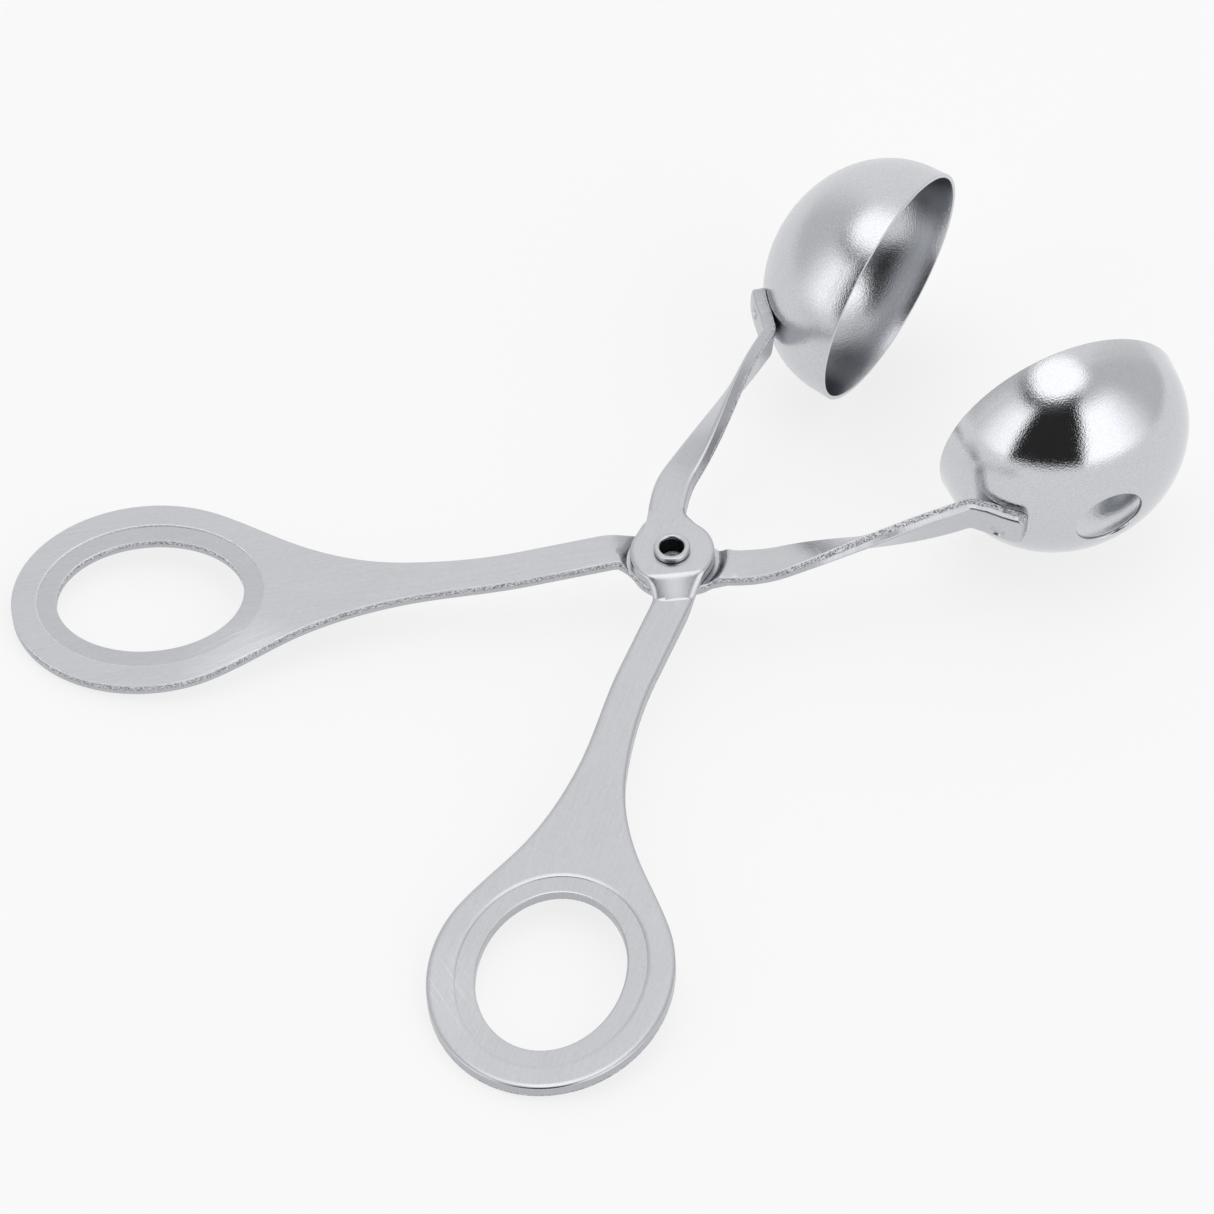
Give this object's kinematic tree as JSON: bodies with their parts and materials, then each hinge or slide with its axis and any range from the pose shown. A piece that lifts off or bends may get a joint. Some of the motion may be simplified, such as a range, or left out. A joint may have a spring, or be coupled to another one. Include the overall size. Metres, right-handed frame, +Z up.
{
  "type": "meatball tongs",
  "caption": "Scissor-action tongs of stainless steel with a finger ring at one end of each arm and a half-ball cup at the other, for shaping balls of meat or dough.",
  "frame": {"origin": "on the table, under the middle of the tongs' bounding box as they lie open", "axes": "+X from the finger rings to the cups, +Z up, +Y to the side of the upper arm's cup"},
  "size_m": [0.1734, 0.1418, 0.0423],
  "materials": {
    "brushed_arm_steel": "satin, finely brushed, with sheared edges",
    "polished_cup_steel": "polished outside, satin inside",
    "bright_rivet_steel": "bright, rolled over"
  },
  "bodies": {
    "lower_half": {"lower_arm": "brushed_arm_steel", "lower_cup": "polished_cup_steel", "pivot_rivet": "bright_rivet_steel"},
    "upper_half": {"upper_arm": "brushed_arm_steel", "upper_cup": "polished_cup_steel"}
  },
  "joints": [
    {"name": "pivot", "type": "hinge", "parent": "lower_half", "child": "upper_half", "pos_m": [0.00179, 0, 0.01276], "axis": [-0.1302, 0.0159, 0.9914], "range_deg": [-34.5, 4]}
  ]
}
